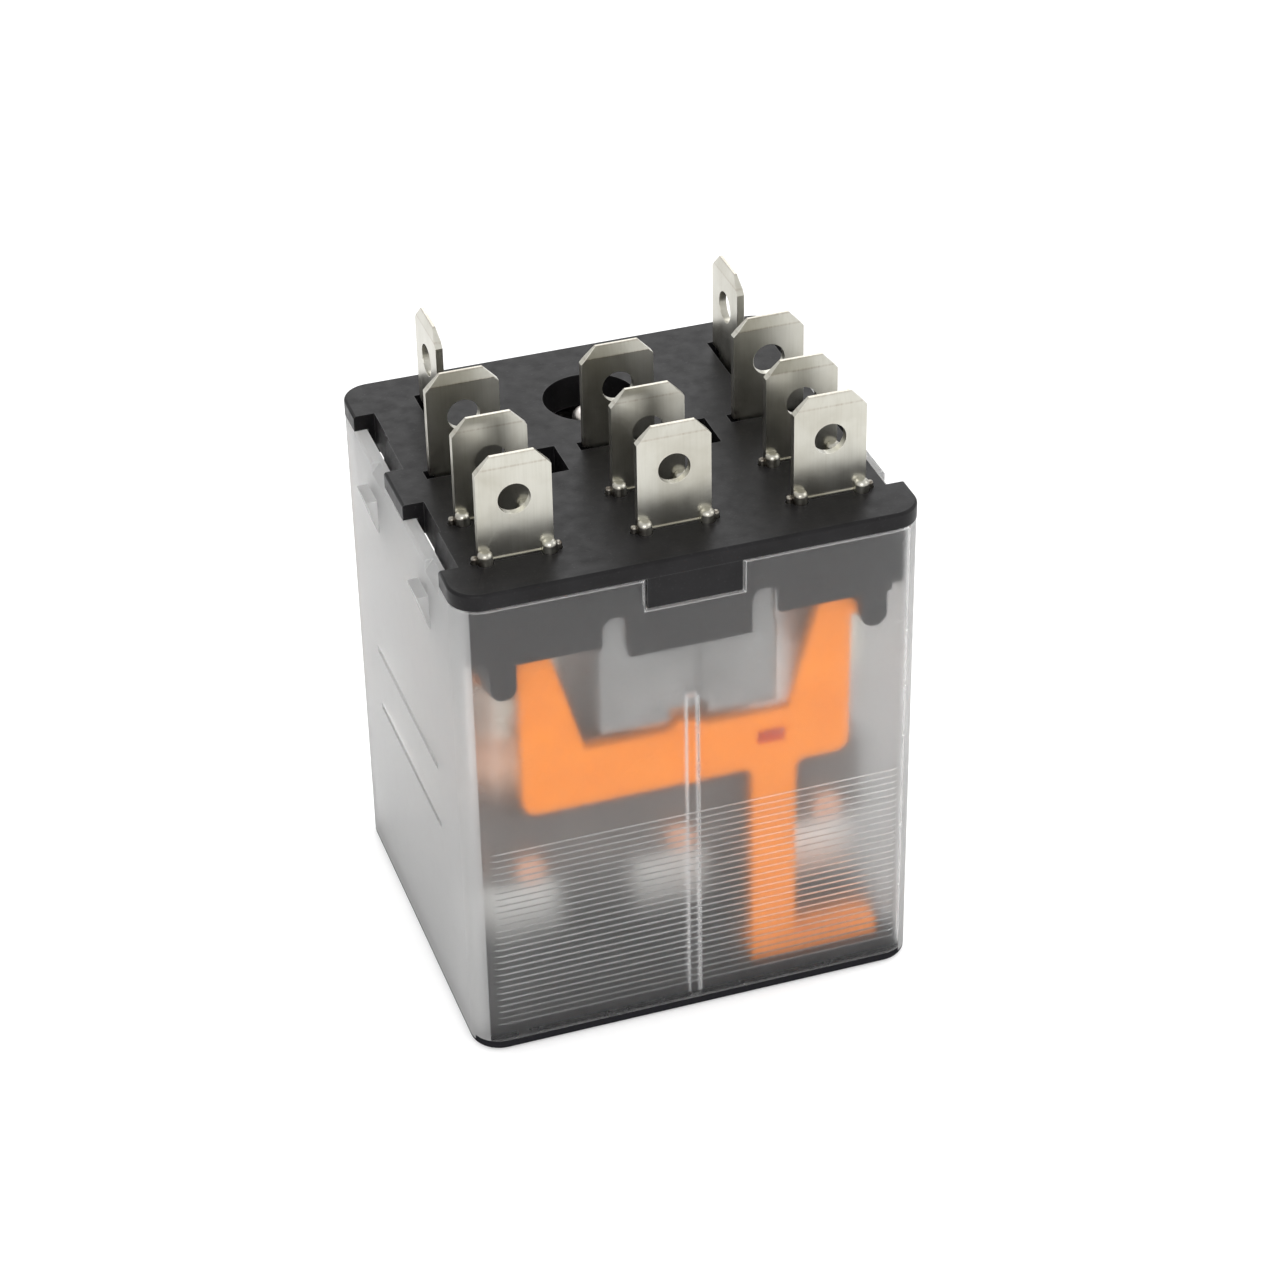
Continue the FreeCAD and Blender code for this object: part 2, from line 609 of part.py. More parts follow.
EAR_X = (9.2, 11.0)
EAR_TOP = 29.8
BAR_Z = (17.0, 21.2)
INNER_X = 6.8
STEM_X = (4.4, 7.4)
FOOT_Z = (1.2, 2.5)
FOOT_X = 13.2
FOOT_BACK_Y = 4.4
HUMP_X = 1.2
HUMP_Z = 21.8
SLOTS_X = (4.94, 5.42, 5.90, 6.38)
SLOT = (0.36, 0.9)       # width and height of each slot through the bar
SLOT_Z = 19.3


def ear():
    outline = [(0, BAR_Z[0]), (EAR_X[1], BAR_Z[0]), (EAR_X[1], EAR_TOP), (EAR_X[0], EAR_TOP)]
    outline += [(INNER_X, BAR_Z[1]), (HUMP_X, BAR_Z[1]), (HUMP_X / 2, HUMP_Z), (0, HUMP_Z)]
    solid = prism_xz(outline, LEVER_Y)
    corner = [edge for edge in solid.Edges if abs(edge.BoundBox.XMin - EAR_X[1]) < 1e-6]
    corner = [edge for edge in corner if edge.BoundBox.ZMax < BAR_Z[0] + 1e-6]
    return solid.makeFillet(1.0, corner)


def is_stem_corner(edge):
    """The edges along Y where the stem meets the bar."""
    bounds = edge.BoundBox
    at_bar = max(abs(bounds.ZMin - BAR_Z[0]), abs(bounds.ZMax - BAR_Z[0])) < 1e-6
    at_side = any(max(abs(bounds.XMin - x), abs(bounds.XMax - x)) < 1e-6 for x in STEM_X)
    return at_bar and at_side


def indicator_lever():
    right = ear()
    stem = box(STEM_X, LEVER_Y, (FOOT_Z[0], BAR_Z[0] + 0.1))
    foot = box((STEM_X[0], FOOT_X), (LEVER_Y[0], FOOT_BACK_Y), FOOT_Z)
    pin = rod_x((EAR_X[1] - 0.2, 12.8), PIVOT_Y, PIVOT_Z, TRUNNION_R)
    solid = join([right, mirrored(right), stem, foot, pin, mirrored(pin)])
    solid = solid.makeFillet(0.7, [edge for edge in solid.Edges if is_stem_corner(edge)])
    width, height = SLOT
    slot_y = (LEVER_Y[0] - 0.1, LEVER_Y[1] + 0.1)
    slots = [box(mid(x, width), slot_y, mid(SLOT_Z, height)) for x in SLOTS_X]
    return solid.cut(Part.Compound(slots))


SHIELD_X = 5.85
SHIELD_Y = (1.95, 3.15)
SHIELD_Z = (22.3, 28.4)


def arc_shield():
    slab = box((-SHIELD_X, SHIELD_X), SHIELD_Y, SHIELD_Z)
    arm = box(ARM_X, SHIELD_Y, (SHIELD_Z[1] - 0.1, PLUG_Z))
    notch = box(mid(0, 2.6), (1, 4), (SHIELD_Z[0] - 1, SHIELD_Z[0] + 0.9))
    groove = box((0.5, 0.9), (SHIELD_Y[0] - 0.1, SHIELD_Y[0] + 0.2), (SHIELD_Z[0], 27.0))
    return join([slab, arm, mirrored(arm)]).cut(notch).cut(groove)


write("cover", cover())
write("marking_plate", marking_plate())
write("base", base())
write("yoke", yoke())
write("core", core())
write("bobbin", bobbin())
write("coil_winding", coil_winding())
write("coil_tape", coil_tape())
write("armature", armature())
write("contact_carrier", contact_carrier())
write("return_spring", return_spring())
write("indicator_lever", indicator_lever())
write("arc_shield", arc_shield())
write("spring_rivets", *[spring_rivet(x) for x in POLES])
for name, side in (("left", -1), ("right", 1)):
    write("coil_terminal_" + name, coil_terminal(side))
    write("coil_lead_" + name, coil_lead(side))
for pole, x in enumerate(POLES, start=1):
    number = str(pole)
    write("open_terminal_" + number, fixed_terminal(x, ROW_FRONT))
    write("closed_terminal_" + number, fixed_terminal(x, ROW_MIDDLE))
    write("common_terminal_" + number, common_terminal(x))
    write("open_contact_" + number, open_contact(x))
    write("closed_contact_" + number, closed_contact(x))
    write("moving_blade_" + number, moving_blade(x))
    write("moving_contact_" + number, moving_contact(x))
    write("braid_" + number, braid(x if x else 1.6))
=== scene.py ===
import json
import math

import bmesh
import bpy
from mathutils import Matrix, Vector


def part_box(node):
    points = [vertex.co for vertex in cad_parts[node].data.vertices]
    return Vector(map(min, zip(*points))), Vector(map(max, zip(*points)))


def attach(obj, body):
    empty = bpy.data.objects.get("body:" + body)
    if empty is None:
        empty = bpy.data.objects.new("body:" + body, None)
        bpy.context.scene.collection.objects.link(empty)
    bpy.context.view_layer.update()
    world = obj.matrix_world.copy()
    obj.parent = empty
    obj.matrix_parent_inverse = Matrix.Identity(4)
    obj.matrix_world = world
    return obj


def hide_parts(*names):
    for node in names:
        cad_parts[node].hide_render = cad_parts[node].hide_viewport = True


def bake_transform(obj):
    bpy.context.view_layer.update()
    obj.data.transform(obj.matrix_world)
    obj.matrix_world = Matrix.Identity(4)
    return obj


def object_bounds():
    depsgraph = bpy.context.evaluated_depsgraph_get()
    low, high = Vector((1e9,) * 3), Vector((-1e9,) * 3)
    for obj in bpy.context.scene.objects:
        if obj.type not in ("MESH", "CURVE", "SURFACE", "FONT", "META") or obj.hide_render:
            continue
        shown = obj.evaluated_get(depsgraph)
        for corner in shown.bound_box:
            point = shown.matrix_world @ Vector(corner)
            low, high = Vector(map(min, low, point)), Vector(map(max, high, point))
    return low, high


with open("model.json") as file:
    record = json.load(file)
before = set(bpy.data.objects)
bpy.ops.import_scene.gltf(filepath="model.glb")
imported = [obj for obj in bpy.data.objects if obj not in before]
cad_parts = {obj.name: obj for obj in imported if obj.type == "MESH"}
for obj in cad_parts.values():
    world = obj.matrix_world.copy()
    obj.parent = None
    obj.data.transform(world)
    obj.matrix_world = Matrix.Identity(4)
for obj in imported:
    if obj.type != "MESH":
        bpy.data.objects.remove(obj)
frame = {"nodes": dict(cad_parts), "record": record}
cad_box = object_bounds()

MM = 0.001
FRONT_Y = cad_box[0].y
FRONT_MM = FRONT_Y / MM
scene = bpy.context.scene
scene.view_settings.view_transform = "Standard"
scene.cycles.caustics_refractive = True
scene.cycles.caustics_reflective = False


# Materials. Lengths and positions are in millimetres.

EDGE_COSINES = (0.98, 0.75)     # of the turn at which an edge starts to show, and shows fully


class Shader:
    """A Principled material whose patterns are laid out in millimetres of the object's own frame."""

    def __init__(self, name, **values):
        self.material = bpy.data.materials.new(name)
        self.material.use_nodes = True
        self.tree = self.material.node_tree
        self.bsdf = self.tree.nodes["Principled BSDF"]
        self.output = self.tree.nodes["Material Output"]
        for key, value in values.items():
            self.set(key.replace("_", " "), value)
        coords = self.tree.nodes.new("ShaderNodeTexCoord")
        self.mapping = self.tree.nodes.new("ShaderNodeMapping")
        self.mapping.inputs["Scale"].default_value = (1 / MM, 1 / MM, 1 / MM)
        self.link(coords.outputs["Object"], self.mapping.inputs["Vector"])
        self.place = self.mapping.outputs["Vector"]

    def set(self, name, value):
        socket = self.bsdf.inputs[name]
        if isinstance(value, bpy.types.NodeSocket):
            self.link(value, socket)
        elif socket.type == "RGBA" and len(value) == 3:
            socket.default_value = (*value, 1)
        else:
            socket.default_value = value

    def link(self, a, b):
        self.tree.links.new(a, b)

    def node(self, kind, values=(), **props):
        node = self.tree.nodes.new(kind)
        for key, value in props.items():
            setattr(node, key, value)
        for key, value in dict(values).items():
            if isinstance(value, bpy.types.NodeSocket):
                self.link(value, node.inputs[key])
            else:
                node.inputs[key].default_value = value
        return node

    def noise(self, scale, detail=3.0, roughness=0.5, stretch=(1, 1, 1), distortion=0.0):
        """Grey noise with about `scale` features per millimetre, squeezed along each axis by stretch."""
        stretched = self.node("ShaderNodeMapping", {"Vector": self.place, "Scale": stretch})
        values = {"Vector": stretched.outputs["Vector"], "Scale": scale, "Detail": detail}
        values.update({"Roughness": roughness, "Distortion": distortion})
        return self.node("ShaderNodeTexNoise", values).outputs["Fac"]

    def remap(self, value, low, high, to_low, to_high):
        values = {"Value": value, "From Min": low, "From Max": high, "To Min": to_low, "To Max": to_high}
        return self.node("ShaderNodeMapRange", values).outputs["Result"]

    def math(self, operation, a, b=0.0):
        return self.node("ShaderNodeMath", {0: a, 1: b}, operation=operation).outputs[0]

    def times(self, a, b):
        return self.math("MULTIPLY", a, b)

    def distance(self, value, level):
        """How far the value is from the level, on either side."""
        return self.math("ABSOLUTE", self.math("SUBTRACT", value, level))

    def mix(self, share, a, b):
        node = self.tree.nodes.new("ShaderNodeMix")
        node.data_type = "RGBA"
        sockets = [s for s in node.inputs if s.enabled]
        for socket, value in zip(sockets, (share, a, b)):
            if isinstance(value, bpy.types.NodeSocket):
                self.link(value, socket)
            elif socket.type == "RGBA":
                socket.default_value = (*value, 1)
            else:
                socket.default_value = value
        return [s for s in node.outputs if s.enabled][0]

    def bump(self, height, depth, strength=1.0):
        values = {"Height": height, "Distance": depth * MM, "Strength": strength}
        self.set("Normal", self.node("ShaderNodeBump", values).outputs["Normal"])

    def edges(self, radius):
        """1 on sharp edges and 0 on flat areas, from how far rounding turns the normal."""
        bevel = self.node("ShaderNodeBevel", {"Radius": radius * MM}, samples=4).outputs["Normal"]
        flat = self.node("ShaderNodeNewGeometry").outputs["Normal"]
        dot = self.node("ShaderNodeVectorMath", {0: bevel, 1: flat}, operation="DOT_PRODUCT")
        return self.remap(dot.outputs["Value"], *EDGE_COSINES, 0.0, 1.0)

    def axis(self, name):
        return self.node("ShaderNodeSeparateXYZ", {"Vector": self.place}).outputs[name]


PLASTIC_EDGE = 0.12
EDGE_WEAR_AND_HIGHLIGHT = 0.5
SPECK_GAIN, SPECK_LIFT = 1.6, 0.03
WAVE_HEIGHT = 1.5               # against the grain's 1
ROUGHNESS_SPREAD = (-0.06, 0.08)
PLASTIC_BUMP = (0.006, 0.5)     # depth and strength, as in the other bumps


def moulded(name, light, dark, roughness, edge_wear_and_highlight=None, shine=0.4, shade_patch=None):
    """Moulded plastic: cloudy colour, flow marks, pale specks, edges lightened by wear and painted highlight,
    and one patch of painted shade.
    """
    shader = Shader(name, Specular_IOR_Level=shine)
    cloud = shader.remap(shader.noise(0.35, detail=4), 0.35, 0.65, 0, 1)
    colour = shader.mix(cloud, dark, light)
    flow = shader.noise(0.5, detail=3, stretch=(0.3, 1.5, 1.5), distortion=0.6)
    colour = shader.mix(shader.remap(flow, 0.55, 0.75, 0, 0.35), colour, light)
    specks = shader.remap(shader.noise(5, detail=3, roughness=0.6), 0.6, 0.75, 0, 0.3)
    colour = shader.mix(specks, colour, tuple(min(1, c * SPECK_GAIN + SPECK_LIFT) for c in light))
    # Edges lightened partly by wear and partly as painted highlight.
    if edge_wear_and_highlight:
        colour = shader.mix(shader.times(shader.edges(PLASTIC_EDGE), EDGE_WEAR_AND_HIGHLIGHT), colour, edge_wear_and_highlight)
    # A darker red patch over the lever's slots: painted shade of the recessed slots.
    if shade_patch:
        (x, z), (half_x, half_z), darkening = shade_patch
        across = shader.math("LESS_THAN", shader.distance(shader.axis("X"), x), half_x)
        upright = shader.math("LESS_THAN", shader.distance(shader.axis("Z"), z), half_z)
        colour = shader.mix(shader.times(across, upright), colour, darkening)
    shader.set("Base Color", colour)
    spread = (roughness + change for change in ROUGHNESS_SPREAD)
    shader.set("Roughness", shader.remap(shader.noise(1.2, detail=4), 0.3, 0.7, *spread))
    waves = shader.times(shader.noise(0.8, detail=2), WAVE_HEIGHT)
    shader.bump(shader.math("ADD", shader.noise(6.0, detail=4), waves), *PLASTIC_BUMP)
    return shader.material


METAL_EDGE = 0.06
EDGE_POLISH_AND_HIGHLIGHT = 0.6
POLISH_AND_HIGHLIGHT_GAIN = 1.25
METAL_BUMP = (0.0008, 0.4)
EVEN_GRAIN = (4, 4, 4)
CREASE_BAND = (0.02, 0.09)      # how far from a crease its line is full, and gone
NUB_BAND = (0.4, 0.8)           # and the same up and down for the nubs' grime and painted shade
DIP_BLUR = 0.2


def rolled_metal(name, light, dark, roughness, grain=(8, 8, 0.35), darkening=0.3, dipped=None, creases=None,
                 feet=None):
    """Rolled or plated sheet: fine grain along Z, cloudy stains and brighter edges.

    It can have lines of painted shade along creases, nubs at the tabs' feet darkened by grime and painted
    shade, and a dipped lower end.
    """
    shader = Shader(name, Metallic=1.0)
    cloud = shader.noise(0.35, detail=4, roughness=0.5, distortion=0.3)
    colour = shader.mix(shader.remap(cloud, 0.42, 0.75, 0, darkening), light, dark)
    lines = shader.noise(0.9, detail=3, stretch=grain)
    colour = shader.mix(shader.remap(lines, 0.45, 0.75, 0, 0.2), colour, dark)
    # Lines of painted shade along the edges of the tabs' bevelled tops.
    if creases:
        levels, crease_shade = creases
        z = shader.axis("Z")
        for level in levels:
            depth = shader.remap(lines, 0.3, 0.7, 0.1, 0.55)
            band = shader.remap(shader.distance(z, level), *CREASE_BAND, depth, 0)
            colour = shader.mix(band, colour, crease_shade)
    # The nubs at the tabs' feet are darkened partly by grime and partly as painted shade.
    if feet:
        pitch, unmarked_to_x, dark_from_x, level, grime_and_shade = feet
        off_centre = shader.math("PINGPONG", shader.axis("X"), pitch / 2)
        off_tab = shader.remap(off_centre, unmarked_to_x, dark_from_x, 0, 1)
        low_down = shader.remap(shader.distance(shader.axis("Z"), level), *NUB_BAND, 1, 0)
        patchy = shader.remap(shader.noise(3.0, detail=3), 0.35, 0.6, 0.4, 0.9)
        colour = shader.mix(shader.times(shader.times(off_tab, low_down), patchy), colour, grime_and_shade)
    if dipped:
        level, tin = dipped
        below = shader.remap(shader.axis("Z"), level - DIP_BLUR, level + DIP_BLUR, 1, 0)
        colour = shader.mix(below, colour, tin)
    # Edges brightened partly by polish and partly as painted highlight.
    polish_and_highlight_colour = tuple(min(1, c * POLISH_AND_HIGHLIGHT_GAIN) for c in light)
    colour = shader.mix(shader.times(shader.edges(METAL_EDGE), EDGE_POLISH_AND_HIGHLIGHT), colour, polish_and_highlight_colour)
    shader.set("Base Color", colour)
    scuffs = shader.remap(shader.noise(0.8, detail=3, stretch=(1, 1, 0.5)), 0.4, 0.7, -0.02, 0.05)
    shader.set("Roughness", shader.math("ADD", scuffs, roughness))
    shader.bump(lines, *METAL_BUMP)
    return shader.material


COVER_IOR = 1.42
COVER_SHINE = 0.14
COVER_CLEAR = (0.97, 0.97, 0.97)
COVER_CLOUDY = (0.93, 0.93, 0.925)
COVER_SIDE_SHADE = (0.78, 0.78, 0.775)
INNER_ROUGHNESS = 0.42
OUTER_ROUGHNESS = (0.25, 0.36)      # front and back, then sides
SIDE_X = 14.3                       # the side walls start here
SIDE_HAZE = 0.2
PLATE_GAP = 0.4                     # the inside reaches this far past the marking plate
ETCHED_FROM_Z = 0.3                 # just under the inner face of the cover's floor
RIDGE_PITCH = 0.508
RIDGE_FIRST_Z = 2.18
RIDGE_COUNT = 28
RIDGE_X = 13.8
RIDGE_LINE = 0.08
RIDGE_DEEP = 0.3
RIDGE_HAZE = 0.05
RIB_HALF = 0.4
RIB_TOP = 24.35
RIB_FRONT, RIB_BACK = 0.9, 1.7      # behind the front face
RIB_BORDER = 0.1
RIB_HAZE = 0.45
COVER_EDGE = 0.14
EDGE_HAZE = (0.15, 0.85)            # below and above RIM_Z
RIM_Z = 31.8
FOOT_CLEAR_Z = 1.6
# A black band of painted shade round the cover's foot, where it meets the floor.
FOOT_SHADE = (0.015, 0.015, 0.017)
FOOT_SHADE_TOP = (0.45, 0.75)            # elsewhere, then on the front
FOOT_SHADE_FRONT = 1.3                   # the front's band reaches this far back
LAMP_SHARE = (0.98, 0.98, 0.98, 1)


def frosted_cover():
    """Clear plastic, etched inside and smoother outside, with a hazed rib, ridges, edges and sides.

    Its foot is painted black as shade. Lamps shine straight through it, so that they light what it holds.
    """
    shader = Shader("frosted_cover", IOR=COVER_IOR)
    x, y, z = (shader.axis(name) for name in "XYZ")
    side = shader.math("GREATER_THAN", shader.math("ABSOLUTE", x), SIDE_X)
    scuffs = shader.remap(shader.noise(0.6, detail=5, roughness=0.65), 0.5, 0.75, 0, 0.05)
    outer = shader.math("ADD", scuffs, shader.remap(side, 0, 1, *OUTER_ROUGHNESS))
    frost = shader.remap(shader.noise(3.0, detail=4), 0.3, 0.7, -0.03, 0.03)
    inner = shader.math("ADD", frost, INNER_ROUGHNESS)
    more = shader.times(etched_inside(shader, x, y, z), shader.math("SUBTRACT", inner, outer))
    rough = shader.math("ADD", more, outer)
    worn = shader.times(shader.edges(COVER_EDGE), shader.math("GREATER_THAN", z, FOOT_CLEAR_Z))
    share = shader.remap(shader.math("GREATER_THAN", z, RIM_Z), 0, 1, *EDGE_HAZE)
    haze = shader.times(ridge_lines(shader, x, y, z), RIDGE_HAZE)
    for other in (shader.times(worn, share), shader.times(side, SIDE_HAZE),
                  shader.times(rib_sides(shader, x, y, z), RIB_HAZE)):
        haze = shader.math("MAXIMUM", haze, other)
    shader.set("Roughness", shader.math("ADD", rough, haze))
    # No shine, no transmission and a black colour on the band of painted shade at the foot.
    outside_foot_shade = shader.math("SUBTRACT", 1.0, shaded_foot_band(shader, x, y, z))
    shader.set("Specular IOR Level", shader.times(outside_foot_shade, COVER_SHINE))
    cloud = shader.remap(shader.noise(0.4, detail=4), 0.3, 0.7, 0, 1)
    colour = shader.mix(cloud, COVER_CLOUDY, COVER_CLEAR)
    # The side walls are greyer: painted shade on the sides.
    colour = shader.mix(side, colour, COVER_SIDE_SHADE)
    shader.set("Base Color", shader.mix(outside_foot_shade, FOOT_SHADE, colour))
    shader.set("Transmission Weight", shader.times(shader.math("SUBTRACT", 1.0, haze), outside_foot_shade))
    to_lamp = shader.node("ShaderNodeLightPath").outputs["Is Shadow Ray"]
    clear = shader.node("ShaderNodeBsdfTransparent", {"Color": LAMP_SHARE})
    both = shader.node("ShaderNodeMixShader", {0: to_lamp, 1: shader.bsdf.outputs[0], 2: clear.outputs[0]})
    shader.link(both.outputs[0], shader.output.inputs["Surface"])
    return shader.material


def etched_inside(shader, x, y, z):
    """1 on the cover's inner faces, found from the marking plate that fills it across, and 0 elsewhere."""
    low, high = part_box("marking_plate")
    across = []
    for value, a, b in ((x, low.x, high.x), (y, low.y, high.y)):
        middle, half = (a + b) / 2 / MM, (b - a) / 2 / MM + PLATE_GAP
        across.append(shader.math("LESS_THAN", shader.distance(value, middle), half))
    return shader.times(shader.times(*across), shader.math("GREATER_THAN", z, ETCHED_FROM_Z))


def shaded_foot_band(shader, x, y, z):
    """1 on the band of painted shade round the cover's foot, which is higher on the front, and 0 elsewhere.
    """
    faces_front = shader.math("LESS_THAN", y, FRONT_MM + FOOT_SHADE_FRONT)
    faces_front = shader.times(faces_front, shader.math("LESS_THAN", x, SIDE_X))
    return shader.math("LESS_THAN", z, shader.remap(faces_front, 0, 1, *FOOT_SHADE_TOP))


def rib_sides(shader, x, y, z):
    """1 on the sides of the rib inside the front wall and on the borders of its back, and 0 elsewhere."""
    away = shader.distance(shader.math("ABSOLUTE", x), RIB_HALF - RIB_BORDER / 2)
    mask = shader.math("LESS_THAN", away, RIB_BORDER)
    for operation, value, limit in (("GREATER_THAN", y, FRONT_MM + RIB_FRONT),
                                    ("LESS_THAN", y, FRONT_MM + RIB_BACK), ("LESS_THAN", z, RIB_TOP)):
        mask = shader.times(mask, shader.math(operation, value, limit))
    return mask


def ridge_lines(shader, x, y, z):
    """1 along the scuffed ridges of the front face, and 0 elsewhere."""
    turn = shader.math("DIVIDE", shader.math("SUBTRACT", z, RIDGE_FIRST_Z), RIDGE_PITCH)
    away = shader.distance(turn, shader.math("ROUND", turn))
    line = shader.remap(away, RIDGE_LINE / RIDGE_PITCH, 0.5 * RIDGE_LINE / RIDGE_PITCH, 0, 1)
    line = shader.times(line, shader.math("GREATER_THAN", turn, -0.5))
    line = shader.times(line, shader.math("LESS_THAN", turn, RIDGE_COUNT - 0.5))
    line = shader.times(line, shader.math("LESS_THAN", shader.math("ABSOLUTE", x), RIDGE_X))
    return shader.times(line, shader.math("LESS_THAN", y, FRONT_MM + RIDGE_DEEP))


def enamelled_wire():
    shader = Shader("enamelled_wire", Metallic=0.85, Roughness=0.3)
    streak = shader.noise(1.5, detail=3, stretch=(0.4, 0.4, 6))
    shader.set("Base Color", shader.mix(streak, (0.42, 0.13, 0.05), (0.72, 0.3, 0.13)))
    shader.set("Coat Weight", 0.5)
    shader.bump(shader.noise(4, detail=3), depth=0.01, strength=0.4)
    return shader.material


def coil_tape():
    shader = Shader("polyester_tape", IOR=1.6)
    wraps = shader.noise(0.7, detail=3, stretch=(0.3, 0.3, 2.5))
    shader.set("Base Color", shader.mix(wraps, (0.62, 0.3, 0.12), (0.82, 0.5, 0.26)))
    shader.set("Roughness", shader.remap(shader.noise(1.5, detail=3), 0.3, 0.7, 0.2, 0.35))
    shader.bump(shader.noise(0.5, detail=3, stretch=(1, 1, 3)), depth=0.05, strength=0.5)
    return shader.material


def woven_copper():
    shader = Shader("woven_copper", Metallic=0.9)
    shader.set("Base Color", shader.mix(shader.noise(3, detail=4), (0.55, 0.27, 0.16), (0.85, 0.5, 0.36)))
    shader.set("Roughness", shader.remap(shader.noise(5, detail=3), 0.3, 0.7, 0.3, 0.5))
    shader.bump(shader.noise(14, detail=3), depth=0.02, strength=0.6)
    return shader.material


def studio_floor():
    shader = Shader("studio_floor", Roughness=0.85, Emission_Color=(1, 1, 1), Emission_Strength=0.1)
    cloud = shader.noise(0.02, detail=3)
    shader.set("Base Color", shader.mix(cloud, (0.93, 0.93, 0.93), (0.96, 0.96, 0.96)))
    shader.bump(shader.noise(1.2, detail=3), depth=0.01, strength=0.1)
    return shader.material


BLADE_TIN = (9.3, (0.9, 0.89, 0.86))                    # the height where the tinned end starts, colour
TAB_CREASES = ((41.6, 42.36), (0.3, 0.25, 0.2))         # lower and upper edges of the bevelled tops, colour of the painted shade along them
TAB_NUBS = (10.2, 1.6, 2.45, 35.4, (0.1, 0.08, 0.065))  # pole pitch, unmarked to x, darkened from x, height, colour of grime and painted shade
LEVER_SLOT_SHADE = ((5.66, 19.3), (0.95, 0.5), (0.78, 0.07, 0.015))  # middle in x and z, half sizes, colour of the painted shade over the lever's slots

MATERIALS = {
    "clear_cover": frosted_cover(),
    "base_plastic": moulded("base_plastic", light=(0.011, 0.0105, 0.0115), dark=(0.006, 0.0055, 0.006),
                            roughness=0.38, edge_wear_and_highlight=(0.12, 0.12, 0.12), shine=0.15),
    "black_plastic": moulded("black_plastic", light=(0.13, 0.112, 0.102), dark=(0.1, 0.085, 0.078),
                             roughness=0.5),
    "grey_plastic": moulded("grey_plastic", light=(0.25, 0.25, 0.247), dark=(0.2, 0.2, 0.197), roughness=0.5),
    "orange_plastic": moulded("orange_plastic", light=(0.9, 0.25, 0.006), dark=(0.83, 0.22, 0.005),
                              roughness=0.45, shine=0.15, shade_patch=LEVER_SLOT_SHADE),
    "bobbin_plastic": moulded("bobbin_plastic", light=(0.7, 0.66, 0.58), dark=(0.6, 0.56, 0.49),
                              roughness=0.45),
    "plated_steel": rolled_metal("plated_steel", light=(0.76, 0.72, 0.68), dark=(0.5, 0.46, 0.43),
                                 roughness=0.4, grain=(3, 3, 3)),
    "tinned_brass": rolled_metal("tinned_brass", light=(0.54, 0.53, 0.475), dark=(0.36, 0.34, 0.28),
                                 roughness=0.3, darkening=0.55, creases=TAB_CREASES, feet=TAB_NUBS),
    "silver_contact": rolled_metal("silver_contact", light=(0.85, 0.84, 0.82), dark=(0.6, 0.59, 0.57),
                                   roughness=0.3, grain=EVEN_GRAIN),
    "blade_bronze": rolled_metal("blade_bronze", light=(0.95, 0.58, 0.4), dark=(0.78, 0.42, 0.27),
                                 roughness=0.35, dipped=BLADE_TIN),
    "copper": rolled_metal("copper", light=(0.9, 0.5, 0.34), dark=(0.62, 0.3, 0.2), roughness=0.4,
                           grain=EVEN_GRAIN),
    "copper_braid": woven_copper(),
    "copper_wire": enamelled_wire(),
    "coil_tape": coil_tape(),
    "spring_steel": rolled_metal("spring_steel", light=(0.7, 0.7, 0.7), dark=(0.45, 0.45, 0.45),
                                 roughness=0.25, grain=EVEN_GRAIN),
}
SLOT_OF = {entry["node"]: entry["material_slot"] for entry in frame["record"]["subparts"]}
BODY_OF = {node: body for body, nodes in frame["record"]["behaviour"]["bodies"].items() for node in nodes}


# CAD nodes shown with rounded edges

WELD = 0.0005
FLAT_ANGLE = 0.3        # degrees, as are the other angles
CAD_SMOOTH_ANGLE = 32
BEVEL_ANGLE = 40
BEVEL_SEGMENTS = 2
FACE_WEIGHT = 100
TAB_BEVEL = 0.035
BEVELS = {"base": 0.06, "indicator_lever": 0.06, "arc_shield": 0.08, "contact_carrier": 0.12,
          "marking_plate": 0.06}


def paint(obj, material):
    obj.data.materials.clear()
    obj.data.materials.append(material)


def new_piece(name, mesh):
    piece = bpy.data.objects.new(name, mesh)
    scene.collection.objects.link(piece)
    return piece


def shade(mesh, angle):
    mesh.shade_smooth()
    mesh.set_sharp_from_angle(angle=math.radians(angle))


def apply_modifiers(piece):
    depsgraph = bpy.context.evaluated_depsgraph_get()
    mesh = bpy.data.meshes.new_from_object(piece.evaluated_get(depsgraph))
    piece.modifiers.clear()
    piece.data = mesh


def rounded_piece(node, bevel_width):
    """Stands for the CAD node with one clean welded mesh of the same shape, its sharp edges rounded."""
    mesh = frame["nodes"][node].data.copy()
    work = bmesh.new()
    work.from_mesh(mesh)
    bmesh.ops.remove_doubles(work, verts=work.verts, dist=WELD * MM)
    bmesh.ops.dissolve_limit(work, angle_limit=math.radians(FLAT_ANGLE), verts=work.verts, edges=work.edges)
    work.to_mesh(mesh)
    work.free()
    shade(mesh, CAD_SMOOTH_ANGLE)
    piece = new_piece(node + "_piece", mesh)
    bevel = piece.modifiers.new("rounded", "BEVEL")
    bevel.width = bevel_width * MM
    bevel.segments = BEVEL_SEGMENTS
    bevel.limit_method = "ANGLE"
    bevel.angle_limit = math.radians(BEVEL_ANGLE)
    bevel.miter_outer = "MITER_ARC"
    bevel.harden_normals = True
    flat = piece.modifiers.new("flat_faces", "WEIGHTED_NORMAL")
    flat.keep_sharp = True
    flat.weight = FACE_WEIGHT
    apply_modifiers(piece)
    paint(piece, MATERIALS[SLOT_OF[node]])
    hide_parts(node)
    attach(piece, BODY_OF[node])


POLES = ("1", "2", "3")
TABS = [kind + "_terminal_" + pole for kind in ("open", "closed", "common") for pole in POLES]
TABS += ["coil_terminal_left", "coil_terminal_right"]

